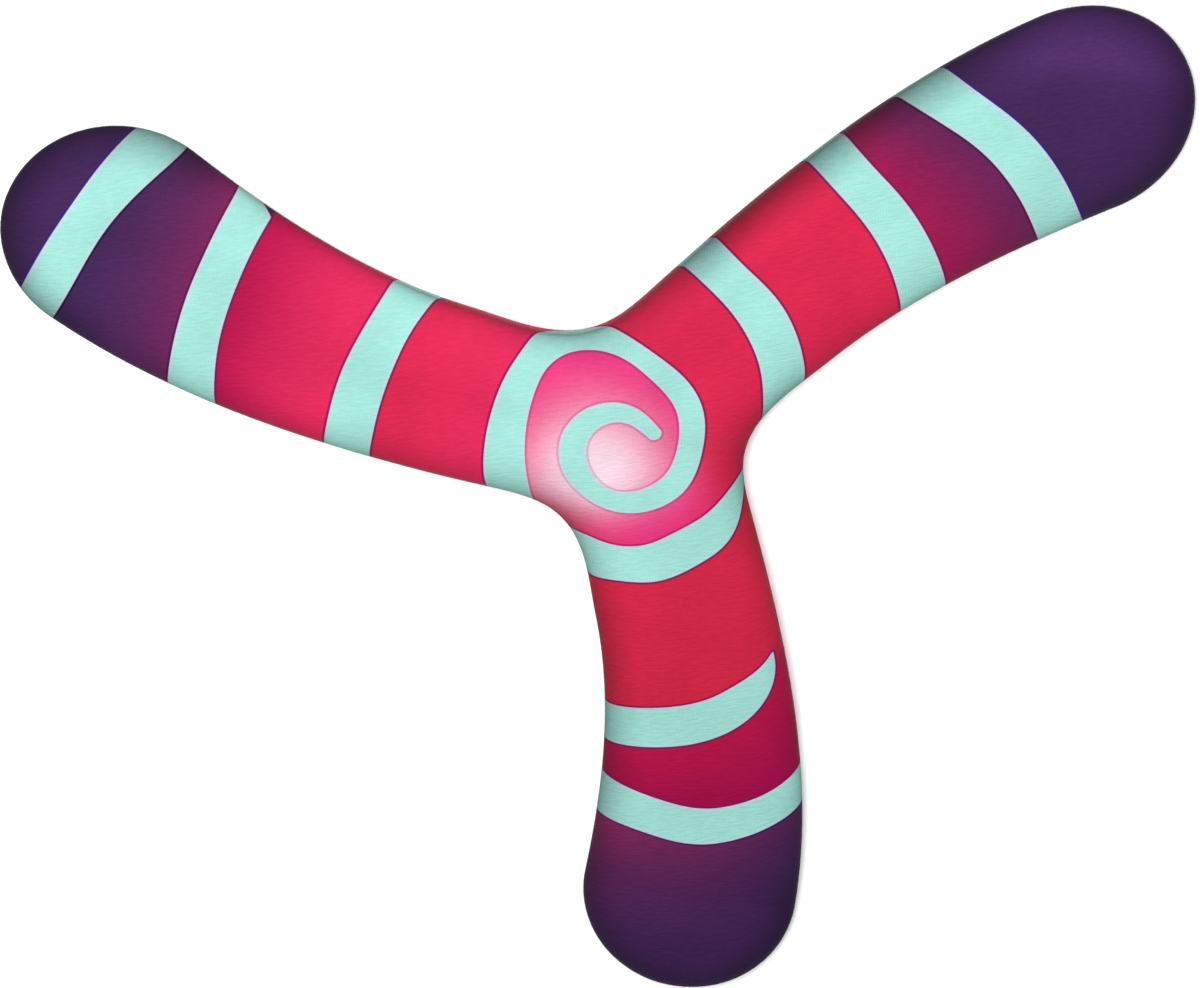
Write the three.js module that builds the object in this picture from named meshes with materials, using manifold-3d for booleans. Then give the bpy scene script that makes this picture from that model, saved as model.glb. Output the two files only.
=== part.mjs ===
// A soft three-blade boomerang: two bonded jersey covers over a two-layer foam blade with a thin
// springy spine. Millimetres, +Z up. The origin is the centre of the hub on the flat underside, and the
// cambered printed face is up. One arm points along -Y and the others follow every 120 degrees. Seen
// from above it turns counterclockwise, so the counterclockwise side of each arm is its thick leading
// edge.
import * as THREE from "three";
import { mergeVertices } from "three/addons/utils/BufferGeometryUtils.js";
import Module from "manifold-3d";

const wasm = await Module();
wasm.setup();

// Driving dimensions
const ARMS = 3;
const ARM_STEP = (2 * Math.PI) / ARMS;
const FIRST_ARM = -Math.PI / 2; // direction of the first arm
const THICKNESS = { hub: 13.5, tip: 8.5 };
const LEADING_NOSE = { hub: 7.5, tip: 4 }; // height of the widest line of a leading edge
const TRAILING_NOSE = { hub: 7, tip: 1.4 }; // the same line on a trailing edge
const LEADING_ROLL = 0.55; // share of the half chord that the round above a leading edge takes
const TRAILING_ROLL = 0.9; // share that the long fall towards a trailing edge takes
const UNDER_ROLL = 4.5; // width of the round under every edge
const COVER_THICKNESS = 0.9;
const HEM = 7; // how far the top cover is turned under
const PARTING_HEIGHT = 4.5; // where the two foam layers meet
const SPINE_INSET = 12; // from the edge of the blade to the edge of the spine
const SPINE_THICKNESS = 0.8;
const GAP = 0.3; // between neighbouring pieces
const SIDE_BLEND = 0.3; // share of an arm over which leading and trailing edges blend

// Sampling
const SIDE_STEPS = 14; // along each side of an arm
const TIP_STEPS = 12; // round each tip
const ROLL_STEPS = 5; // over the rounded band above the edge
const UNDER_STEPS = 2; // round the small roll under the edge

// The outline of an arm that points along +X, as knots of x, y and heading in degrees. It starts in
// the crotch on the trailing side, goes round the tip, and ends in the next crotch, which is the first
// knot turned by one arm step.
const CROTCH = [17.5, -18.5, 42];
const TRAILING_WAIST = [44.5, -12, 5];
const TRAILING_CORNER = [112.5, -20.5, -15];
const TIP = [145, 3, 89];
const LEADING_CORNER = [125, 26.5, 168];
const LEADING_ROOT = [23.5, 24.5, 189];
// The arm's middle line, from the hub to the centre of the tip's round
const MIDDLE = new THREE.QuadraticBezierCurve(
  new THREE.Vector2(0, 0),
  new THREE.Vector2(56, 16),
  new THREE.Vector2(119, 3.5),
);

// A height that runs from its value at the hub to its value at the tip, faster and faster.
const tapered = ({ hub, tip }, out) => THREE.MathUtils.lerp(hub, tip, out ** 2);
const smooth = (t) => THREE.MathUtils.smoothstep(t, 0, 1);
const { lerp } = THREE.MathUtils;

// The knot turned by one arm step about the hub.
function nextArm([x, y, heading]) {
  const turned = new THREE.Vector2(x, y).rotateAround(new THREE.Vector2(), ARM_STEP);
  return [turned.x, turned.y, heading + THREE.MathUtils.radToDeg(ARM_STEP)];
}

// A smooth path through knots. Each span is a cubic that follows an arc as closely as its headings
// allow.
function pathThrough(knots) {
  const path = new THREE.CurvePath();
  knots.slice(1).forEach((end, i) => {
    const start = knots[i];
    const [a, b] = [start, end].map(([x, y]) => new THREE.Vector2(x, y));
    const [headA, headB] = [start[2], end[2]].map(THREE.MathUtils.degToRad);
    const reach = a.distanceTo(b) / (3 * Math.cos((headB - headA) / 4) ** 2);
    const along = (h) => new THREE.Vector2(Math.cos(h), Math.sin(h)).multiplyScalar(reach);
    const leaving = a.clone().add(along(headA));
    const arriving = b.clone().sub(along(headB));
    path.add(new THREE.CubicBezierCurve(a, leaving, arriving, b));
  });
  return path;
}

// Evenly spaced points of a path, without its last one.
function openPoints(path, steps) {
  return path.getSpacedPoints(steps).slice(0, -1);
}

// One arm's edge stations in order. Each has its point on the outline, the foot on the middle line
// that it is joined to, how far out along the arm it is (0 in the crotch, 1 on the tip) and its share
// of leading edge.
function armStations() {
  const trailing = pathThrough([CROTCH, TRAILING_WAIST, TRAILING_CORNER]);
  const tip = pathThrough([TRAILING_CORNER, TIP, LEADING_CORNER]);
  const leading = pathThrough([LEADING_CORNER, LEADING_ROOT, nextArm(CROTCH)]);
  const stations = [];
  const add = (edge, out, lead) => stations.push({ edge, foot: MIDDLE.getPoint(out), out, lead });
  openPoints(trailing, SIDE_STEPS).forEach((edge, i) => {
    const out = i / SIDE_STEPS;
    add(edge, out, 0.5 - smooth(out / SIDE_BLEND) / 2);
  });
  openPoints(tip, TIP_STEPS).forEach((edge, i) => add(edge, 1, smooth(i / TIP_STEPS)));
  openPoints(leading, SIDE_STEPS).forEach((edge, i) => {
    const out = 1 - i / SIDE_STEPS;
    add(edge, out, 0.5 + smooth(out / SIDE_BLEND) / 2);
  });
  return stations;
}

// The stations of all arms, counterclockwise round the whole blade.
function bladeStations() {
  const arm = armStations();
  const centre = new THREE.Vector2();
  return Array.from({ length: ARMS }, (_, i) => FIRST_ARM + i * ARM_STEP).flatMap((turn) =>
    arm.map(({ edge, foot, out, lead }) => ({
      edge: edge.clone().rotateAround(centre, turn),
      foot: foot.clone().rotateAround(centre, turn),
      out,
      lead,
    })),
  );
}

const STATIONS = bladeStations();

// How far a station's foot lies from the outline.
const reachOf = ({ edge, foot }) => edge.distanceTo(foot);

// The point of a station at a depth inwards from the outline, and at a height.
function inwards(station, depth, height) {
  const p = station.edge.clone().lerp(station.foot, Math.min(depth / reachOf(station), 1));
  return new THREE.Vector3(p.x, p.y, height);
}

// Half of the blade's section at a station, shrunk by a margin on all sides: points from the crown of
// the middle line, down over the edge, and under it to a depth, as a quarter ellipse above the edge's
// widest line and another below it.
function sectionPoints(station, margin, underDepth) {
  const { out, lead } = station;
  const reach = reachOf(station);
  const crown = tapered(THICKNESS, out) - margin;
  const nose = lerp(tapered(TRAILING_NOSE, out), tapered(LEADING_NOSE, out), lead);
  const roll = lerp(TRAILING_ROLL, LEADING_ROLL, lead) * reach - margin;
  const points = [inwards(station, reach, crown)];
  for (let i = ROLL_STEPS; i >= 0; i--) {
    const angle = ((i / ROLL_STEPS) * Math.PI) / 2;
    const depth = margin + roll * (1 - Math.cos(angle));
    points.push(inwards(station, depth, nose + (crown - nose) * Math.sin(angle)));
  }
  for (let i = 1; i <= UNDER_STEPS; i++) {
    const angle = ((i / UNDER_STEPS) * Math.PI) / 2;
    const depth = margin + (UNDER_ROLL - margin) * (1 - Math.cos(angle));
    points.push(inwards(station, depth, nose - (nose - margin) * Math.sin(angle)));
  }
  points.push(inwards(station, underDepth, margin));
  return points;
}

// A closed surface from one list of points per station. Neighbouring stations are joined point by
// point, and points that meet on the middle line are merged, which closes the surface there.
function skin(columns) {
  const rows = columns[0].length;
  const position = columns.flat().flatMap((p) => p.toArray());
  const index = [];
  columns.forEach((_, i) => {
    const next = (i + 1) % columns.length;
    for (let j = 0; j < rows - 1; j++) {
      const [a, b, c, d] = [i * rows + j, i * rows + j + 1, next * rows + j + 1, next * rows + j];
      index.push(a, b, c, a, c, d);
    }
  });
  const geometry = new THREE.BufferGeometry();
  geometry.setAttribute("position", new THREE.Float32BufferAttribute(position, 3));
  geometry.setIndex(index);
  return withoutSlivers(mergeVertices(geometry, 1e-3));
}

// The geometry without the triangles that merging flattened.
function withoutSlivers(geometry) {
  const index = Array.from(geometry.index.array);
  const kept = [];
  for (let i = 0; i < index.length; i += 3) {
    const corners = index.slice(i, i + 3);
    if (new Set(corners).size === 3) kept.push(...corners);
  }
  geometry.setIndex(kept);
  return geometry;
}

// A flat plate with the blade's outline moved inwards.
function plate(inset, bottom, thickness) {
  const outline = STATIONS.map((s) => inwards(s, inset, 0)).map((p) => new THREE.Vector2(p.x, p.y));
  const settings = { depth: thickness, bevelEnabled: false };
  return new THREE.ExtrudeGeometry(new THREE.Shape(outline), settings).translate(0, 0, bottom);
}

// A slab that covers the whole blade between two heights.
function slab(bottom, top) {
  const width = 4 * TIP[0];
  return new THREE.BoxGeometry(width, width, top - bottom).translate(0, 0, (bottom + top) / 2);
}

function toSolid(geometry) {
  const bare = geometry.clone();
  bare.deleteAttribute("normal");
  bare.deleteAttribute("uv");
  const merged = mergeVertices(bare, 1e-4);
  const vertProperties = merged.attributes.position.array;
  const triVerts = new Uint32Array(merged.index.array);
  return new wasm.Manifold(new wasm.Mesh({ numProp: 3, vertProperties, triVerts }));
}

function fromSolid(solid) {
  const { vertProperties, triVerts } = solid.getMesh();
  const geometry = new THREE.BufferGeometry();
  geometry.setAttribute("position", new THREE.BufferAttribute(vertProperties, 3));
  geometry.setIndex(new THREE.BufferAttribute(triVerts, 1));
  return geometry;
}

// The top cover: the crowned face, the rolled edge and the hem turned under, as one sheet of even
// thickness.
function topCover() {
  return skin(
    STATIONS.map((station) => {
      const outside = sectionPoints(station, 0, HEM);
      const inside = sectionPoints(station, COVER_THICKNESS, HEM);
      return [...outside, ...inside.reverse()];
    }),
  );
}

// The whole foam blade, before it is split into two layers.
function foamBlade() {
  const margin = COVER_THICKNESS + GAP;
  return skin(
    STATIONS.map((station) => {
      const underside = inwards(station, reachOf(station), margin);
      return [...sectionPoints(station, margin, HEM), underside];
    }),
  );
}

function upperFoam() {
  const blade = toSolid(foamBlade());
  return fromSolid(blade.intersect(toSolid(slab(PARTING_HEIGHT + GAP, 2 * THICKNESS.hub))));
}

// The lower layer, with the pocket that the spine lies in.
function lowerFoam() {
  const blade = toSolid(foamBlade());
  const lower = blade.intersect(toSolid(slab(-THICKNESS.hub, PARTING_HEIGHT)));
  const pocketFloor = PARTING_HEIGHT - SPINE_THICKNESS - GAP;
  return fromSolid(lower.subtract(toSolid(plate(SPINE_INSET - GAP, pocketFloor, THICKNESS.hub))));
}

function part(name, geometry, material) {
  const made = new THREE.Mesh(geometry, new THREE.MeshStandardMaterial(material));
  made.name = name;
  made.geometry.computeVertexNormals();
  return made;
}

const PRINTED_JERSEY = { color: 0xd7284b, roughness: 0.8, metalness: 0 };
const PLAIN_JERSEY = { color: 0x2a1a33, roughness: 0.85, metalness: 0 };
const FOAM = { color: 0x2b2b2e, roughness: 0.95, metalness: 0 };
const SPINE_PLASTIC = { color: 0xe8e8e6, roughness: 0.5, metalness: 0 };
const spinePlate = plate(SPINE_INSET, PARTING_HEIGHT - SPINE_THICKNESS, SPINE_THICKNESS);

const boomerang = new THREE.Group();
boomerang.add(
  part("top_cover", topCover(), PRINTED_JERSEY),
  part("bottom_cover", plate(HEM + GAP, 0, COVER_THICKNESS), PLAIN_JERSEY),
  part("upper_foam", upperFoam(), FOAM),
  part("lower_foam", lowerFoam(), FOAM),
  part("spine", spinePlate, SPINE_PLASTIC),
);

export default boomerang;
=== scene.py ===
"""A soft three-blade boomerang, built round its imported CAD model.

Plans and sections are worked out in millimetres, in the part's own frame, and every mesh is
scaled to metres when it is made. The printed face is up, and one arm points along -Y.
"""

import math
from types import SimpleNamespace

import bpy
import numpy as np
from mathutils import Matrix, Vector


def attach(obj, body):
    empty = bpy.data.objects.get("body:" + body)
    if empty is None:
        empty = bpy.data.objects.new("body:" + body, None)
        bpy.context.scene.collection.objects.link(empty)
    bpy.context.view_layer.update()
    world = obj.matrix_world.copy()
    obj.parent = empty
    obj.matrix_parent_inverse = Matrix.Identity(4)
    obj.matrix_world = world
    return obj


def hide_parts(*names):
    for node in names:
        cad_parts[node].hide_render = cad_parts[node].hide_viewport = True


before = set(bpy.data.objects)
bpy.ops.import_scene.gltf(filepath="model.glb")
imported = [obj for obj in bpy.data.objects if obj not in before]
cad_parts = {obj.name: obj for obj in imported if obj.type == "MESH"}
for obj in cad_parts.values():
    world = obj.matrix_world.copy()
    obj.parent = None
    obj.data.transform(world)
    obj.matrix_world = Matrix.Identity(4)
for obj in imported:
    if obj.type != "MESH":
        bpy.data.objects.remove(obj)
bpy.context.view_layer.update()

MM = 0.001

# ---- The blade's shape, mm: the same values as in the CAD part ----
ARMS = 3
ARM_STEP = 2 * math.pi / ARMS
FIRST_ARM = -math.pi / 2
THICKNESS = (13.5, 8.5)  # at the hub and at the tips, as in every pair below
LEADING_NOSE = (7.5, 4.0)  # height of an edge's widest line
TRAILING_NOSE = (7.0, 1.4)
LEADING_ROLL = 0.55  # share of the half chord that the round above an edge takes
TRAILING_ROLL = 0.9
UNDER_ROLL = 4.5  # width of the round under an edge
COVER = 0.9  # thickness of both covers
HEM = 7.0  # how far in from the outline the printed cover ends, below
PARTING = 4.5  # height at which the two foam layers meet
SPINE_INSET = 12.0  # from the blade's outline to the spine's
SPINE_THICKNESS = 0.8
GAP = 0.3  # between pieces, for the glue
SIDE_BLEND = 0.3  # share of the arm over which an edge becomes fully leading or trailing

# Outline knots of an arm along +X: x, y and heading in degrees
CROTCH = (17.5, -18.5, 42)
TRAILING_WAIST = (44.5, -12, 5)
TRAILING_CORNER = (112.5, -20.5, -15)
TIP = (145, 3, 89)
LEADING_CORNER = (125, 26.5, 168)
LEADING_ROOT = (23.5, 24.5, 189)
MIDDLE = np.array([(0, 0), (56, 16), (119, 3.5)])  # Bezier points of the arm's middle line

# ---- The print: ribbons of mint dye on the flat cloth, as knots of x, y and half width, mm ----
# The spiral starts in the hub, winds out and crosses the third arm. Part frame.
SPIRAL = [
    (4.8, 1.8, 1.6), (-1, 7.4, 2.2), (-8, 7, 2.7), (-12.8, 1.6, 3), (-12.3, -6.6, 2.8),
    (-6.6, -13, 2.5), (1, -14.2, 2.8), (8.3, -10.5, 2.9), (12.4, -2.2, 2.8), (12.7, 7.5, 2.8),
    (7.8, 15.8, 2.6), (1.2, 21.9, 2.4), (-6, 25.4, 3.2), (-13, 26, 4), (-18.8, 22.3, 3.4),
    (-22.8, 17, 3.6), (-26, 9.5, 4), (-28.2, -1, 4.5), (-28.4, -9, 4.8),
]
SPIRAL_TAIL = 5  # the last knots of the spiral, which cross the third arm
# The stripes of each arm, from the hub outwards, in the frame of that arm turned to +X
LOWER_STRIPES = [
    [(28, -14, 5.6), (29.4, -6.5, 4.5), (29.7, 2, 4.7), (27, 9.5, 4.8), (22.6, 16.7, 4.2),
     (17.3, 21.3, 2.6), (13.2, 24.7, 1.2), (11, 26.8, 0.2)],
    [(71.5, -13.8, 4.8), (72, -2, 5.1), (70.7, 11.8, 5), (65.5, 20.5, 3.9), (60.6, 24.8, 2),
     (56.6, 26.6, 0.2)],
    [(90, -16.5, 5.2), (94.9, -5, 4.8), (99.2, 7.6, 4.8), (97.1, 20.6, 4.3), (92.2, 31.8, 4.4)],
]
RIGHT_STRIPES = [
    [(32.7, -12, 5), (36.9, -3.4, 4.8), (39.5, 6.9, 4.9), (39.1, 17.6, 4.5), (37.1, 28.2, 4.7)],
    [(68.8, -14, 5.4), (73, -0.7, 5.1), (74.3, 10.2, 4.9), (73.7, 21.4, 4.7), (72.5, 31.5, 4.8)],
    [(101.5, -17.4, 5.1), (104.1, -5.1, 5.1), (104.2, 7.5, 5), (101.3, 19.7, 4.9),
     (97.2, 31, 5.3)],
]
LEFT_STRIPES = [
    [(57.3, -14.3, 4.9), (59.1, -5.2, 4.6), (59.7, 6.9, 5), (58.4, 17.8, 5.1), (56, 27.8, 5.1)],
    [(95.2, -21, 4.6), (97, -11.5, 4.5), (97.5, -2, 4.5), (97.2, 6.1, 4.6), (95.2, 18.8, 4.8),
     (91.4, 31, 5.3)],
    [(119.4, -23.5, 5.6), (124.4, -12.4, 5.1), (127.5, -1.2, 4.6), (129.2, 10.6, 4.7),
     (130, 22, 4.7)],
]

# One corner of the left arm's second stripe is cut off: a point of the cut and the way it faces
NOTCHED = LEFT_STRIPES[1]
NOTCH = (91.7, -15.6)
NOTCH_FACING = math.radians(42)

RIBBON_OVERRUN = 12  # how far a ribbon runs on past its end knots, over the edge
DYE_CHANGE = 4.0  # half the width over which dyes change under a stripe
LAST_ZONE = 38.0  # length of the dye zone past an arm's last stripe

# The pink patches in the hub: centre, radii, and the shares of the radii at which the pink starts
# to fade and over which it fades
PINK_PATCHES = [((-8, 4), (20, 20), 0.95, 0.2), ((0, -16), (17, 13), 0.4, 0.9)]
# The pale glow in them, which reaches less far towards the lower arm
GLOW_CENTRE = (-9, -6.5)
GLOW_WIDTH = 14.4
GLOW_BELOW = 9.8
GLOW_ABOVE = 15.3
GLOW_FALL = 2.5  # the higher, the sharper its rim


# ---- Dyes ----
CLOTH_LEVEL = 0.64  # how much light the whitest cloth returns


def srgb(red, green, blue):
    """A linear colour from 0-255 display values."""
    shown = np.array([red, green, blue]) / 255
    return np.where(shown <= 0.04045, shown / 12.92, ((shown + 0.055) / 1.055) ** 2.4)


def dye(red, green, blue):
    """What cloth of that display colour reflects under lamps that show pale paper as white."""
    return CLOTH_LEVEL * srgb(red, green, blue)


MINT = dye(175, 235, 226)
LILAC = dye(222, 214, 238)
RED = dye(226, 42, 84)
LOW_RED = dye(220, 42, 76)
HOT_RED = dye(234, 46, 98)
CRIMSON = dye(174, 24, 86)
RUBY = dye(197, 22, 77)
WINE = dye(170, 8, 79)
MAGENTA = dye(186, 14, 80)
MULBERRY = dye(106, 38, 94)
PLUM = dye(140, 38, 98)
DUSK = dye(150, 44, 100)
VIOLET = dye(72, 41, 94)
NIGHT = dye(68, 36, 88)
# A lighter violet: a painted highlight on the right arm's tip, towards its leading edge
VIOLET_HIGHLIGHT = dye(86, 48, 112)
PINK = dye(240, 60, 136)
PALE = dye(254, 228, 240)
OUTLINE = dye(104, 34, 92)
DARK_OUTLINE = dye(26, 16, 44)
TIP_OUTLINE = dye(44, 40, 132)
UNDERSIDE = dye(66, 40, 90)

# The zones of each arm, from the hub outwards: the dye just outside a stripe, the dye just inside
# the next one, the share of the way between them at which they are half mixed, and how much sooner
# that comes for every mm towards the leading edge
LOWER_DYES = [(LOW_RED, LOW_RED, 0.5, 0), (RUBY, WINE, 0.5, 0.003), (DUSK, NIGHT, 0.19, 0.011)]
# The right arm's last zone turns into the painted highlight towards its tip and leading edge
RIGHT_DYES = [
    (RED, RED, 0.5, 0), (CRIMSON, MULBERRY, 0.5, 0.003), (VIOLET, VIOLET_HIGHLIGHT, 0.85, 0.022),
]
LEFT_DYES = [
    (HOT_RED, RED, 0.5, 0), (HOT_RED, MAGENTA, 0.62, 0), (PLUM, VIOLET, 0.3, 0.006),
    (VIOLET, NIGHT, 0.5, 0),
]


# ---- Small tools ----
def smooth(t):
    t = np.clip(t, 0, 1)
    return t * t * (3 - 2 * t)


def mix(a, b, t):
    return a + (b - a) * t


def blend(a, b, t):
    """Colours a to b, point by point."""
    return mix(a, b, np.asarray(t)[:, None])


def tapered(ends, out):
    """A value at the hub and one at the tip, mixed by how far out along the arm a point is."""
    return mix(ends[0], ends[1], out**2)


def turned(points, angle):
    c, s = math.cos(angle), math.sin(angle)
    return np.asarray(points) @ np.array([[c, s], [-s, c]])


def run_along(points):
    """The length of a line of points from its start to each of them."""
    steps = np.linalg.norm(np.diff(points, axis=0), axis=1)
    return np.concatenate([[0], np.cumsum(steps)])


def evenly(points, count):
    """The same line as evenly spaced points."""
    run = run_along(points)
    want = np.linspace(0, run[-1], count)
    return np.stack([np.interp(want, run, column) for column in points.T], axis=1)


# ---- Stations round the blade ----
def span(start, end, steps=200):
    """A cubic between two knots that follows an arc as closely as their headings allow."""
    a, b = np.array(start[:2], float), np.array(end[:2], float)
    turn = math.radians(end[2] - start[2])
    reach = np.linalg.norm(b - a) / (3 * math.cos(turn / 4) ** 2)
    headings = [math.radians(knot[2]) for knot in (start, end)]
    leaving, arriving = (np.array([math.cos(h), math.sin(h)]) for h in headings)
    c, d = a + reach * leaving, b - reach * arriving
    t = np.linspace(0, 1, steps)[:, None]
    return (1 - t) ** 3 * a + 3 * (1 - t) ** 2 * t * c + 3 * (1 - t) * t**2 * d + t**3 * b


def side(knots, steps):
    """The outline through the knots, without its last point."""
    line = np.vstack([span(a, b) for a, b in zip(knots, knots[1:])])
    return evenly(line, steps + 1)[:-1]


def middle_line(out):
    t = np.asarray(out)[:, None]
    return (1 - t) ** 2 * MIDDLE[0] + 2 * t * (1 - t) * MIDDLE[1] + t**2 * MIDDLE[2]


def blade_stations(side_steps, tip_steps):
    """Stations counterclockwise round the blade: a point on the outline, its foot on the middle
    line, how far out along the arm it is, its share of leading edge and its reach, which is how far
    it is from the foot."""
    next_crotch = (*turned(CROTCH[:2], ARM_STEP), CROTCH[2] + math.degrees(ARM_STEP))
    outwards = np.arange(side_steps) / side_steps
    inwards = 1 - outwards
    edge = np.vstack([
        side([CROTCH, TRAILING_WAIST, TRAILING_CORNER], side_steps),
        side([TRAILING_CORNER, TIP, LEADING_CORNER], tip_steps),
        side([LEADING_CORNER, LEADING_ROOT, next_crotch], side_steps),
    ])
    out = np.concatenate([outwards, np.ones(tip_steps), inwards])
    lead = np.concatenate([
        0.5 - smooth(outwards / SIDE_BLEND) / 2,
        smooth(np.arange(tip_steps) / tip_steps),
        0.5 + smooth(inwards / SIDE_BLEND) / 2,
    ])
    turns = [FIRST_ARM + i * ARM_STEP for i in range(ARMS)]
    edge, foot = (np.vstack([turned(line, a) for a in turns]) for line in (edge, middle_line(out)))
    out, lead = np.tile(out, ARMS), np.tile(lead, ARMS)
    reach = np.linalg.norm(edge - foot, axis=1)
    return SimpleNamespace(edge=edge, foot=foot, out=out, lead=lead, reach=reach)


# ---- Sections: for every station, rows of depth from the outline and of height ----
def heights(st, margin):
    """Heights of the section's crown and nose, and the width of the round above the nose."""
    crown = tapered(THICKNESS, st.out) - margin
    nose = mix(tapered(TRAILING_NOSE, st.out), tapered(LEADING_NOSE, st.out), st.lead)
    roll = mix(TRAILING_ROLL, LEADING_ROLL, st.lead) * st.reach - margin
    return crown, nose, roll


def upper_rows(st, margin, count, dense=160):
    """Evenly spaced rows from the crown on the middle line, over the edge, down to the nose."""
    crown, nose, roll = heights(st, margin)
    angle = np.linspace(math.pi / 2, 0, dense)
    depth = margin + np.outer(roll, 1 - np.cos(angle))
    height = nose[:, None] + np.outer(crown - nose, np.sin(angle))
    depth = np.hstack([st.reach[:, None], depth])
    height = np.hstack([crown[:, None], height])
    return np.stack([evenly(np.stack(pair, axis=1), count) for pair in zip(depth, height)])


def under_rows(st, margin, count):
    """Rows of the round below the nose, without the nose itself."""
    _, nose, _ = heights(st, margin)
    angle = np.linspace(0, math.pi / 2, count + 1)[1:]
    depth = np.tile(margin + (UNDER_ROLL - margin) * (1 - np.cos(angle)), (len(nose), 1))
    height = nose[:, None] - np.outer(nose - margin, np.sin(angle))
    return np.stack([depth, height], axis=2)


def level_rows(st, pairs):
    """Rows at the same depths and heights all round, from pairs of depth and height."""
    return np.tile(np.array(pairs, float), (len(st.out), 1, 1))


def foot_row(st, height):
    """One row on the middle line."""
    return np.stack([st.reach, np.full_like(st.reach, height)], axis=1)[:, None]


def rounded_end(depth, low, high, steps=6):
    """Pairs round the cut end of a sheet of fabric, from its lower face to its upper one."""
    radius = (high - low) / 2
    angles = np.linspace(-math.pi / 2, math.pi / 2, steps)
    return [
        (depth - radius + radius * math.cos(a), low + radius + radius * math.sin(a)) for a in angles
    ]


def placed(st, rows):
    """Points in space of rows of depth and height."""
    share = np.minimum(rows[..., :1] / st.reach[:, None, None], 1)
    plan = st.edge[:, None] * (1 - share) + st.foot[:, None] * share
    return np.concatenate([plan, rows[..., 1:]], axis=2)


def section_run(points):
    """The length of every section from its first point to each of the others."""
    steps = np.linalg.norm(np.diff(points, axis=1), axis=2)
    return np.hstack([np.zeros((len(steps), 1)), np.cumsum(steps, axis=1)])


def unrolled(st, points):
    """Flat coordinates on the fabric: each section laid straight out from the middle line."""
    outwards = (st.edge - st.foot) / st.reach[:, None]
    return st.foot[:, None] + outwards[:, None] * section_run(points)[..., None]


# ---- Meshes ----
WELD_DIGITS = 4  # decimals of a mm to which points that meet agree


def skin(name, points):
    """A closed mesh from rows of points, one list per station. Points that meet on the middle line
    are welded. Returns the object and which of the points became its vertices."""
    stations, rows = points.shape[:2]
    index = np.arange(stations * rows).reshape(stations, rows)
    after = np.roll(index, -1, axis=0)
    corners = [index[:, :-1], index[:, 1:], after[:, 1:], after[:, :-1]]
    quads = np.stack(corners, axis=2).reshape(-1, 4)
    _, first, weld = np.unique(
        np.round(points.reshape(-1, 3), WELD_DIGITS), axis=0, return_index=True, return_inverse=True
    )
    faces = [tuple(dict.fromkeys(quad)) for quad in weld.reshape(-1)[quads].tolist()]
    faces = [face for face in faces if len(face) > 2]
    mesh = bpy.data.meshes.new(name)
    mesh.from_pydata((points.reshape(-1, 3)[first] * MM).tolist(), [], faces)
    mesh.validate()
    mesh.shade_smooth()
    piece = bpy.data.objects.new(name, mesh)
    bpy.context.scene.collection.objects.link(piece)
    return piece, first


def store(piece, name, kind, values):
    """Keeps a value for every vertex, for the materials to read."""
    layer = piece.data.attributes.new(name, kind, "POINT")
    field = {"FLOAT": "value", "FLOAT_COLOR": "color", "FLOAT_VECTOR": "vector"}[kind]
    layer.data.foreach_set(field, np.asarray(values, np.float32).ravel())


def store_knit(piece, flat):
    """Keeps where every vertex lies on the flat cloth."""
    store(piece, "knit", "FLOAT_VECTOR", np.hstack([flat, np.zeros((len(flat), 1))]))


# ---- The print ----
def curve_through(knots, steps=14):
    """A natural cubic spline through the knots, over the length of its chords."""
    p = np.array(knots, float)
    h = np.linalg.norm(np.diff(p[:, :2], axis=0), axis=1)
    matrix, right = np.eye(len(p)), np.zeros_like(p)
    for i in range(1, len(p) - 1):
        matrix[i, i - 1 : i + 2] = h[i - 1], 2 * (h[i - 1] + h[i]), h[i]
        right[i] = 6 * ((p[i + 1] - p[i]) / h[i] - (p[i] - p[i - 1]) / h[i - 1])
    bend = np.linalg.solve(matrix, right)
    t = np.linspace(0, 1, steps, endpoint=False)[:, None]
    pieces = []
    for i, width in enumerate(h):
        back, on = bend[i] * width**2 / 6, bend[i + 1] * width**2 / 6
        straight = (1 - t) * p[i] + t * p[i + 1]
        pieces.append(straight + ((1 - t) ** 3 - (1 - t)) * back + (t**3 - t) * on)
    return np.vstack([*pieces, p[-1:]])


def run_on(near, end):
    """A point straight on from near past end, with the ribbon's width at end."""
    step = end - near
    point = end + step * RIBBON_OVERRUN / np.linalg.norm(step[:2])
    point[2] = end[2]
    return point


def lengthened(line, start=True, end=True):
    """The line run straight on past its start, its end or both."""
    before = [run_on(line[1], line[0])] if start else []
    after = [run_on(line[-2], line[-1])] if end else []
    return np.vstack([*before, line, *after])


def ribbon_depth(plan, line):
    """How deep each point is inside a ribbon, negative outside it."""
    best = np.full(len(plan), -1e3)
    for a, b in zip(line[:-1], line[1:]):
        along = b[:2] - a[:2]
        t = np.clip((plan - a[:2]) @ along / (along @ along), 0, 1)
        gap = np.linalg.norm(plan - a[:2] - t[:, None] * along, axis=1)
        best = np.maximum(best, mix(a[2], b[2], t) - gap)
    return best


def past(plan, line):
    """How far outwards each point lies from a stripe's centre line, along its arm."""
    order = np.argsort(line[:, 1])
    return plan[:, 0] - np.interp(plan[:, 1], line[order, 1], line[order, 0])


def patch(plan, centre, radii, full, fade):
    """How much each point has of an oval patch of dye."""
    away = np.linalg.norm((plan - centre) / radii, axis=1)
    return 1 - smooth((away - full) / fade)


def hub_dye(plan):
    """Pink inside the spiral, fading to a pale glow at its middle and to red outside it."""
    pink = np.max([patch(plan, *values) for values in PINK_PATCHES], axis=0)
    across, up = (plan - GLOW_CENTRE).T
    reach = np.hypot(across / GLOW_WIDTH, up / np.where(up < 0, GLOW_BELOW, GLOW_ABOVE))
    return blend(blend(RED, PINK, pink), PALE, np.exp(-(reach**GLOW_FALL)))


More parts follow.
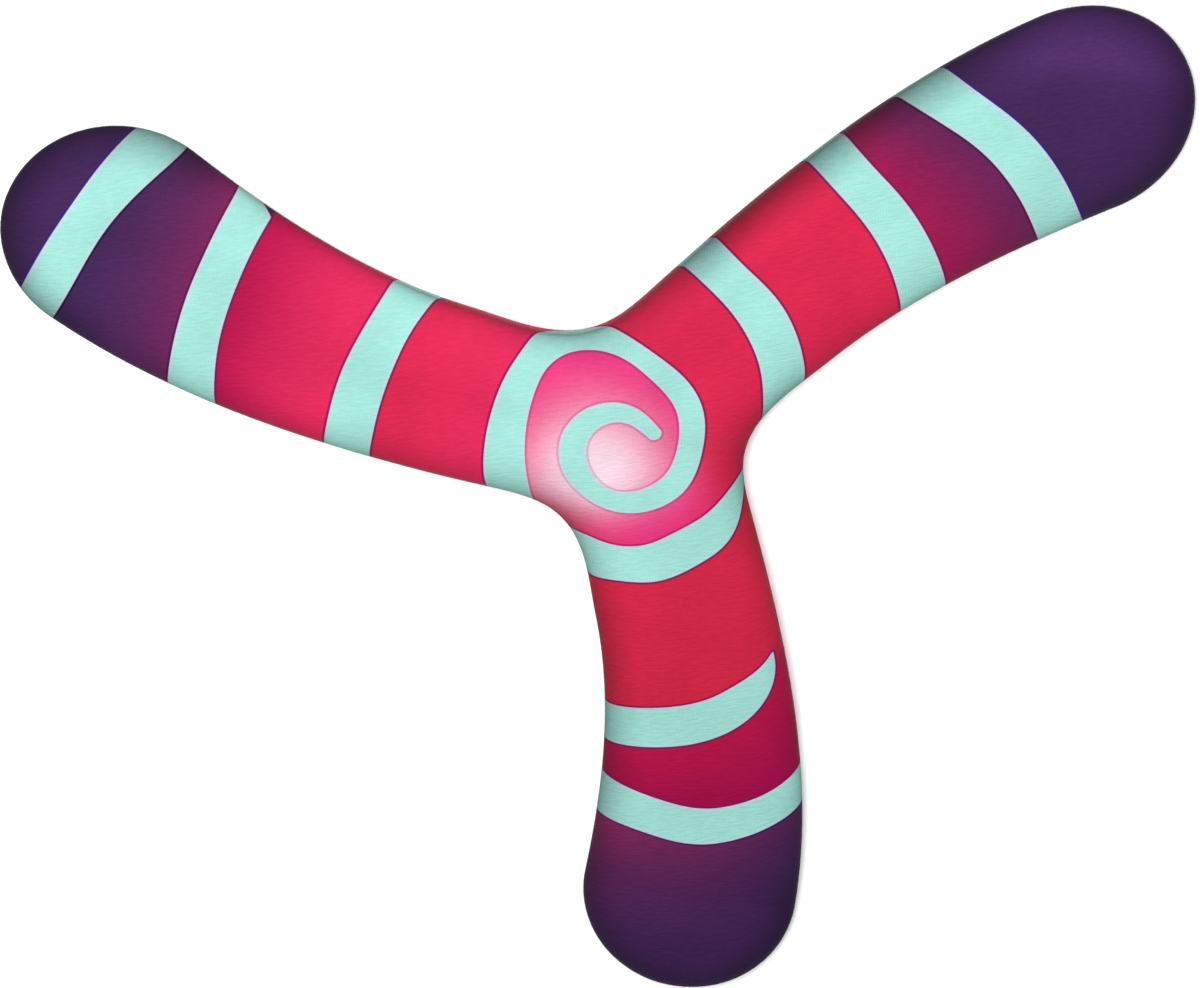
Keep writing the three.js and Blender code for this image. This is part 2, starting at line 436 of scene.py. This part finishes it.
def arm_dye(plan, under, stripes, dyes):
    """The dyes of one arm, over the dye of the hub. Each zone runs from one stripe to the next."""
    lines = [curve_through(stripe) for stripe in stripes]
    colour = under
    for i, (inner, outer, half, lean) in enumerate(dyes):
        gone = past(plan, lines[i])
        length = gone - past(plan, lines[i + 1]) if i + 1 < len(lines) else LAST_ZONE
        share = np.clip(gone / length + lean * plan[:, 1], 0, 1) ** (math.log(0.5) / math.log(half))
        zone = blend(inner, outer, smooth(share))
        colour = blend(colour, zone, smooth((gone + DYE_CHANGE) / (2 * DYE_CHANGE)))
    return colour


def cut_corner(local, ribbon):
    """How deep points are inside the notched stripe, and how far they are in its cut corner."""
    facing = np.array([math.cos(NOTCH_FACING), math.sin(NOTCH_FACING)])
    inside = (local - NOTCH) @ facing
    corner = smooth(0.5 - inside) * smooth(ribbon + 0.5)
    return np.minimum(ribbon, inside), corner


def outline_dye(dyes, tips):
    """The thin line round the mint: violet on red, near black on plum, blue on the tips and faint
    on pink. The amounts of red and blue in the dye under it tell these apart."""
    red, _, blue = dyes.T
    line = blend(DARK_OUTLINE, OUTLINE, smooth((red - 0.02) / 0.2))
    line = blend(line, TIP_OUTLINE, tips)
    return blend(line, dyes, mix(0.2, 0.7, smooth((blue - 0.07) / 0.13)))


def artwork(plan):
    """At every point of the plan: the dye, the dye of an outline there, and how deep the point is
    inside the mint ribbons."""
    mint = ribbon_depth(plan, lengthened(curve_through(SPIRAL), start=False))
    tail = np.array(SPIRAL[-SPIRAL_TAIL:])
    angles = [FIRST_ARM + i * ARM_STEP for i in range(ARMS)]
    crossing = np.column_stack([turned(tail[:, :2], -angles[2]), tail[:, 2]])
    dyes, tips = hub_dye(plan), np.zeros(len(plan))
    around = np.arctan2(plan[:, 1], plan[:, 0])
    # For each arm: its stripes, the stripes that its zones start from, its zones, and how blue the
    # outline past its last stripe is
    arms = [
        (LOWER_STRIPES, LOWER_STRIPES, LOWER_DYES, 0.2),
        (RIGHT_STRIPES, RIGHT_STRIPES, RIGHT_DYES, 1),
        (LEFT_STRIPES, [crossing, *LEFT_STRIPES], LEFT_DYES, 1),
    ]
    for angle, (stripes, bounds, zones, blue) in zip(angles, arms):
        local = turned(plan, -angle)
        mine = np.cos(around - angle) > 0.5  # within 60 degrees of the arm
        dyes[mine] = arm_dye(local[mine], dyes[mine], bounds, zones)
        tips[mine] = blue * smooth(past(local[mine], curve_through(stripes[-1])))
        for stripe in stripes:
            pointed = stripe[-1][2] < 1
            ribbon = ribbon_depth(local, lengthened(curve_through(stripe), end=not pointed))
            if stripe is NOTCHED:
                ribbon, corner = cut_corner(local, ribbon)
                dyes = blend(dyes, NIGHT, corner)
            mint = np.maximum(mint, ribbon)
    return dyes, outline_dye(dyes, tips), mint


# ---- Pieces ----
# Waves of the foam's surface: radians per mm along X and along Y, and phase
UNEVEN = [
    (0.115, 0.06, 0.4), (-0.05, 0.14, 1.9), (0.21, -0.13, 3.1), (0.09, 0.27, 5.2),
    (-0.33, 0.1, 0.7),
]
UNEVEN_HEIGHT = 0.07
FACE_ROWS = 46  # rows of the top cover from its crown to its widest line
HEM_FACE = [(5.2, 0), (5.9, 0)]  # depths and heights of rows between the round and the cut end
HEM_BACK = (5.6, COVER)

# Painted shade: how much darker the cloth is coloured at the trailing edge, leading edge and tip of
# each arm, over a broad band, with less between the arms; at the tips it also stands for the
# print's own darker rim. A narrow rim all round gets darker painted shade still.
EDGE_SHADES = [(0.36, 0, 0.42), (0, 0.56, 0.42), (0, 0.1, 0.45)]
CROTCH_SHADE = 0.2
SHADE_BAND = 12.0
CROTCH_REACH = 0.3  # shares of the arm: where the crotch's shade ends and the tip's starts
TIP_START = 0.88
RIM_SHADE = 0.55
RIM_BAND = 2.2


def unevenness(plan):
    """Slight hills and hollows of a soft foam surface, mm."""
    waves = [np.sin(plan[..., 0] * a + plan[..., 1] * b + c) for a, b, c in UNEVEN]
    return UNEVEN_HEIGHT * np.sum(waves, axis=0)


def edge_shade(st, points):
    """The share of their brightness that the dyes keep under painted shade: all on the face, less
    along the edges.
    """
    run = section_run(points)
    away = np.abs(run[:, FACE_ROWS - 1 : FACE_ROWS] - run)
    trailing, leading, tip = np.repeat(EDGE_SHADES, len(st.out) // ARMS, axis=0).T
    band = mix(CROTCH_SHADE, mix(trailing, leading, st.lead), smooth(st.out / CROTCH_REACH))
    band = mix(band, tip, smooth((st.out - TIP_START) / (1 - TIP_START)))
    kept = 1 - band[:, None] * (1 - smooth(away / SHADE_BAND))
    return kept * (1 - RIM_SHADE * np.exp(-away / RIM_BAND))


def make_top_cover():
    """The printed cover: over the face, round the edge, along the hem and back inside."""
    st = blade_stations(side_steps=150, tip_steps=110)
    rows = np.concatenate([
        upper_rows(st, 0, FACE_ROWS),
        under_rows(st, 0, count=9),
        level_rows(st, [*HEM_FACE, *rounded_end(HEM, 0, COVER), HEM_BACK]),
        under_rows(st, COVER, count=4)[:, ::-1],
        upper_rows(st, COVER, count=9)[:, ::-1],
    ], axis=1)
    points = placed(st, rows)
    crown, nose, _ = heights(st, 0)
    share = np.clip((points[..., 2] - nose[:, None]) / (crown - nose)[:, None], 0, 1)
    points[:, :FACE_ROWS, 2] += (unevenness(points[..., :2]) * share)[:, :FACE_ROWS]
    piece, kept = skin("top_cover_cloth", points)
    flat = unrolled(st, points).reshape(-1, 2)[kept]
    dyes, outline, mint = artwork(flat)
    for name, colours in (("dye", dyes), ("outline", outline)):
        store(piece, name, "FLOAT_COLOR", np.hstack([colours, np.ones((len(colours), 1))]))
    store(piece, "mint", "FLOAT", mint)
    # Painted shade along the edges and tips, multiplied into the print by the material
    store(piece, "shade", "FLOAT", edge_shade(st, points).ravel()[kept])
    store_knit(piece, flat)
    return piece


def make_bottom_cover():
    """The plain cover inside the hem: its upper face, its rounded end and its underside."""
    st = blade_stations(side_steps=100, tip_steps=60)
    inset = HEM + GAP
    near = inset + COVER / 2
    above = np.stack([mix(near, st.reach, t) for t in (1, 0.1)], axis=1)
    below = np.stack([mix(near, st.reach, t) for t in np.linspace(0.02, 1, 18)], axis=1)
    end = [(2 * inset - depth, height) for depth, height in rounded_end(inset, 0, COVER)[::-1]]
    rows = np.concatenate([
        np.stack([above, np.full_like(above, COVER)], axis=2),
        level_rows(st, end),
        np.stack([below, np.zeros_like(below)], axis=2),
    ], axis=1)
    points = placed(st, rows)
    piece, kept = skin("bottom_cover_cloth", points)
    store_knit(piece, points[..., :2].reshape(-1, 2)[kept])
    return piece


def foam_section(st):
    """Rows of the foam's whole section, from the crown to the underside."""
    margin = COVER + GAP
    return np.concatenate([
        upper_rows(st, margin, count=26),
        under_rows(st, margin, count=6),
        level_rows(st, [(HEM, margin)]),
        foot_row(st, margin),
    ], axis=1)


def cut_at(rows, level, keep_above):
    """The section above or below a level. Rows beyond it gather where the section crosses it."""
    kept = rows.copy()
    for line in kept:
        crossing = np.interp(-level, -line[:, 1], line[:, 0])
        gone = line[:, 1] < level if keep_above else line[:, 1] > level
        line[gone] = crossing, level
    return kept


def make_upper_foam():
    """The cambered layer, cut flat where it meets the lower one."""
    st = blade_stations(side_steps=80, tip_steps=40)
    level = PARTING + GAP
    cambered = cut_at(foam_section(st), level, keep_above=True)
    rows = np.concatenate([cambered, foot_row(st, level)], axis=1)
    piece, _ = skin("upper_foam_layer", placed(st, rows))
    return piece


def make_lower_foam():
    """The lower layer, with the pocket that the spine lies in."""
    st = blade_stations(side_steps=80, tip_steps=40)
    wall = SPINE_INSET - GAP
    floor = PARTING - SPINE_THICKNESS - GAP
    rows = np.concatenate([
        foot_row(st, floor),
        level_rows(st, [(wall, floor), (wall, PARTING)]),
        cut_at(foam_section(st), PARTING, keep_above=False),
    ], axis=1)
    piece, _ = skin("lower_foam_layer", placed(st, rows))
    return piece


# ---- Materials ----
class Shader:
    """A material's nodes, added one at a time."""

    def __init__(self, name):
        self.material = bpy.data.materials.new(name)
        self.material.use_nodes = True
        self.nodes = self.material.node_tree.nodes
        self.links = self.material.node_tree.links
        self.surface = self.nodes["Principled BSDF"]

    def put(self, socket, value):
        if isinstance(value, bpy.types.NodeSocket):
            self.links.new(value, socket)
        elif isinstance(value, np.ndarray):
            socket.default_value = (*value, 1)
        else:
            socket.default_value = value

    def node(self, kind, inputs=(), **settings):
        made = self.nodes.new(kind)
        for key, value in settings.items():
            setattr(made, key, value)
        for key, value in dict(inputs).items():
            self.put(made.inputs[key], value)
        return made

    def math(self, operation, *values):
        return self.node("ShaderNodeMath", enumerate(values), operation=operation).outputs[0]

    def step(self, value, low, high):
        """0 below low and 1 above high, with a smooth rise between them."""
        inputs = {0: value, 1: low, 2: high}
        made = self.node("ShaderNodeMapRange", inputs, interpolation_type="SMOOTHSTEP")
        return made.outputs[0]

    def mix(self, factor, a, b, how="MIX"):
        inputs = {0: factor, 6: a, 7: b}
        return self.node("ShaderNodeMix", inputs, data_type="RGBA", blend_type=how).outputs[2]

    def noise(self, vector, scale, detail=2.0):
        inputs = {"Vector": vector, "Scale": scale, "Detail": detail}
        return self.node("ShaderNodeTexNoise", inputs).outputs[0]

    def stretched(self, vector, factors):
        """The vector times a factor for each axis."""
        inputs = {0: vector, 1: factors}
        return self.node("ShaderNodeVectorMath", inputs, operation="MULTIPLY").outputs[0]

    def attribute(self, name):
        return self.node("ShaderNodeAttribute", attribute_name=name)

    def place(self):
        """The point in the part's frame, mm."""
        inputs = {0: self.node("ShaderNodeTexCoord").outputs["Object"], "Scale": 1 / MM}
        return self.node("ShaderNodeVectorMath", inputs, operation="SCALE").outputs[0]

    def bump(self, height, distance):
        inputs = {"Height": height, "Distance": distance, "Strength": 1.0}
        made = self.node("ShaderNodeBump", inputs)
        self.put(self.surface.inputs["Normal"], made.outputs[0])

    def finish(self, **constants):
        """Sets uniform values on the shader's own sockets and returns the material."""
        for key, value in constants.items():
            self.put(self.surface.inputs[key.replace("_", " ")], value)
        return self.material


WALE = 0.62  # width of a column of stitches, mm
COURSE = 0.5  # height of a row of stitches, mm
STITCH_SLANT = 1.1  # rows by which the two legs of a stitch run up to their column's middle

# The lines along a ribbon's edge, by depth inside the ribbon, mm
OUTLINE_DEPTH = -0.25  # the middle of the outline, just outside the ribbon
OUTLINE_SPREAD = (0.12, 0.42)  # distances from there at which it starts and ends fading
LILAC_FADE = (0.3, 0.75)  # where the lilac edge starts and ends fading into the mint
LILAC_SHARE = 0.65  # how much of the edge's colour is lilac


def knit_height(sh):
    """The relief of jersey, from 0 between the columns of stitches to 1 on the loops."""
    split = sh.node("ShaderNodeSeparateXYZ", {0: sh.attribute("knit").outputs["Vector"]}).outputs
    column = sh.math("FRACT", sh.math("DIVIDE", split[0], WALE))
    across = sh.math("ABSOLUTE", sh.math("SUBTRACT", column, 0.5))
    slant = sh.math("MULTIPLY", across, STITCH_SLANT)
    rise = sh.math("ADD", sh.math("DIVIDE", split[1], COURSE), slant)
    loop = sh.math("MULTIPLY_ADD", sh.math("COSINE", sh.math("MULTIPLY", rise, math.tau)), 0.3, 0.7)
    rib = sh.math("SINE", sh.math("MULTIPLY", column, math.pi))
    return sh.math("MULTIPLY", loop, sh.math("POWER", rib, 0.6))


def streaks(sh):
    """Faint uneven streaks along the rows of stitches, from 0 to 1."""
    flat = sh.attribute("knit").outputs["Vector"]
    return sh.step(sh.noise(sh.stretched(flat, (0.4, 1.5, 1)), 1.0, 3.0), 0.3, 0.7)


def jersey(colour, sh):
    """Matt knitted cloth: painted shade between the stitches, a little cloudy and streaky, with
    a soft sheen."""
    place = sh.place()
    height = knit_height(sh)
    streak = streaks(sh)
    cloudy = sh.step(sh.noise(place, 0.05, 3.0), 0.3, 0.7)
    colour = sh.mix(sh.math("MULTIPLY", cloudy, 0.1), colour, srgb(70, 20, 60), "MULTIPLY")
    fuzz = sh.noise(place, 2.6, 3.0)
    # Painted shade in the hollows between the stitches, plus the darker tone of the streaks
    stitch_hollow = sh.math("SUBTRACT", 1.3, height)
    depth = sh.math("MULTIPLY", stitch_hollow, sh.math("MULTIPLY_ADD", fuzz, 0.2, 0.04))
    depth = sh.math("ADD", depth, sh.math("MULTIPLY", streak, 0.12))
    stitch_shaded = sh.mix(1.0, colour, colour, "MULTIPLY")
    colour = sh.mix(depth, colour, stitch_shaded)
    sh.put(sh.surface.inputs["Base Color"], colour)
    sh.put(sh.surface.inputs["Roughness"], sh.math("MULTIPLY_ADD", fuzz, 0.16, 0.66))
    relief = sh.math("ADD", sh.math("MULTIPLY", height, 0.6), sh.math("MULTIPLY", fuzz, 0.5))
    sh.bump(sh.math("ADD", relief, streak), 0.05 * MM)
    return sh.finish(Sheen_Weight=0.03, Sheen_Roughness=0.4, Specular_IOR_Level=0.06)


def printed_jersey():
    """Dyes with mint ribbons over them, each with a dark line outside its edge and a lilac one
    inside, all darkened along the blade's edges by painted shade."""
    sh = Shader("printed_jersey_cloth")
    cloth = sh.attribute("dye").outputs["Color"]
    outline = sh.attribute("outline").outputs["Color"]
    mint = sh.attribute("mint").outputs["Fac"]
    # Painted shade along the blade's edges
    shade = sh.attribute("shade").outputs["Fac"]
    away = sh.math("ABSOLUTE", sh.math("SUBTRACT", mint, OUTLINE_DEPTH))
    line = sh.math("SUBTRACT", 1.0, sh.step(away, *OUTLINE_SPREAD))
    ground = sh.mix(line, cloth, outline)
    edge = sh.math("SUBTRACT", 1.0, sh.step(mint, *LILAC_FADE))
    ribbon = sh.mix(sh.math("MULTIPLY", edge, LILAC_SHARE), MINT, LILAC)
    print_colour = sh.mix(sh.step(mint, -0.1, 0.1), ground, ribbon)
    # The print times the painted edge shade
    return jersey(sh.mix(1.0, print_colour, shade, "MULTIPLY"), sh)


def plain_jersey():
    """The underside's cloth, dark purple all over."""
    return jersey(UNDERSIDE, Shader("plain_jersey_cloth"))


def foam():
    """Charcoal closed-cell foam with fine pores."""
    sh = Shader("closed_cell_foam")
    place = sh.place()
    cells = sh.node("ShaderNodeTexVoronoi", {"Vector": place, "Scale": 1.6}).outputs["Distance"]
    pores = sh.step(cells, 0.05, 0.45)
    colour = sh.mix(pores, srgb(34, 33, 36), srgb(66, 65, 70))
    sh.put(sh.surface.inputs["Base Color"], colour)
    sh.put(sh.surface.inputs["Roughness"], sh.math("MULTIPLY_ADD", sh.noise(place, 0.4), 0.15, 0.8))
    sh.bump(pores, 0.1 * MM)
    return sh.finish(Specular_IOR_Level=0.25)


def sheet_plastic():
    """Milky polypropylene sheet with a brushed surface."""
    sh = Shader("polypropylene_sheet")
    grain = sh.noise(sh.stretched(sh.place(), (0.15, 3.0, 1.0)), 1.2, 4.0)
    colour = sh.mix(grain, srgb(214, 214, 208), srgb(236, 236, 232))
    sh.put(sh.surface.inputs["Base Color"], colour)
    sh.put(sh.surface.inputs["Roughness"], sh.math("MULTIPLY_ADD", grain, 0.2, 0.35))
    sh.bump(grain, 0.02 * MM)
    return sh.finish(Subsurface_Weight=0.1)


def floor_paper():
    """Pale seamless paper."""
    sh = Shader("pale_paper")
    tooth = sh.noise(sh.place(), 0.8, 3.0)
    colour = sh.mix(tooth, srgb(246, 246, 246), srgb(252, 252, 252))
    sh.put(sh.surface.inputs["Base Color"], colour)
    sh.bump(tooth, 0.02 * MM)
    return sh.finish(Roughness=0.9, Specular_IOR_Level=0.1)


def dress(piece, material):
    piece.data.materials.clear()
    piece.data.materials.append(material)


# ---- Camera, light and floor: places in metres ----
CAMERA_PLACE = (-0.00844, 0.55635, 1.14848)
CAMERA_TURN = (-26.454, -2.649, -5.287)  # degrees about X, Y and Z
LENS = 174.68
FILM = 36.0
LAMPS = [  # name, place, watts and width
    ("key", (-0.1, 0.5, 0.95), 19.3, 0.5),
    ("fill", (-0.3, 0.2, 1.5), 3, 1.2),
]
SURROUND = 0.2  # strength of the light from all round
FLOOR_RINGS = [(0.6, 0), (1.2, 0), (1.8, 0.01), (2.2, 0.05)]  # radius and height
FLOOR_SIDES = 64
FLOOR_DROP = 0.0006  # below the blade


def make_camera():
    data = bpy.data.cameras.new("camera")
    data.sensor_width, data.lens = FILM, LENS
    camera = bpy.data.objects.new("camera", data)
    camera.location = CAMERA_PLACE
    camera.rotation_euler = [math.radians(angle) for angle in CAMERA_TURN]
    bpy.context.scene.collection.objects.link(camera)
    bpy.context.scene.camera = camera


def soft_light(name, place, power, width):
    """A square lamp that faces the hub."""
    data = bpy.data.lights.new(name, "AREA")
    data.energy, data.size = power, width
    lamp = bpy.data.objects.new(name, data)
    lamp.location = place
    lamp.rotation_euler = Vector(place).to_track_quat("Z", "Y").to_euler()
    bpy.context.scene.collection.objects.link(lamp)


def make_studio():
    for lamp in LAMPS:
        soft_light(*lamp)
    world = bpy.data.worlds.new("studio")
    world.use_nodes = True
    background = world.node_tree.nodes["Background"]
    background.inputs["Color"].default_value = (1, 1, 1, 1)
    background.inputs["Strength"].default_value = SURROUND
    bpy.context.scene.world = world
    bpy.context.scene.view_settings.view_transform = "Standard"


def make_floor():
    """A large round sheet of paper just under the blade, turned up at its rim."""
    turns = [math.tau * i / FLOOR_SIDES for i in range(FLOOR_SIDES)]
    vertices = [
        (radius * math.cos(turn), radius * math.sin(turn), height - FLOOR_DROP)
        for radius, height in FLOOR_RINGS for turn in turns
    ]
    faces = [tuple(range(FLOOR_SIDES))]
    for inner in range(0, len(vertices) - FLOOR_SIDES, FLOOR_SIDES):
        outer = inner + FLOOR_SIDES
        for i in range(FLOOR_SIDES):
            j = (i + 1) % FLOOR_SIDES
            faces.append((inner + i, outer + i, outer + j, inner + j))
    mesh = bpy.data.meshes.new("floor")
    mesh.from_pydata(vertices, [], faces)
    floor = bpy.data.objects.new("floor", mesh)
    bpy.context.scene.collection.objects.link(floor)
    dress(floor, floor_paper())


# ---- The boomerang ----
def main():
    make_camera()
    make_studio()
    make_floor()
    top = make_top_cover()
    bottom = make_bottom_cover()
    upper = make_upper_foam()
    lower = make_lower_foam()
    stuffing = foam()
    for piece, node, slot, material in [
        (top, "top_cover", "printed_jersey", printed_jersey()),
        (bottom, "bottom_cover", "plain_jersey", plain_jersey()),
        (upper, "upper_foam", "foam", stuffing),
        (lower, "lower_foam", "foam", stuffing),
    ]:
        dress(piece, material)
        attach(piece, "root")
        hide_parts(node)
    dress(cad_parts["spine"], sheet_plastic())


main()
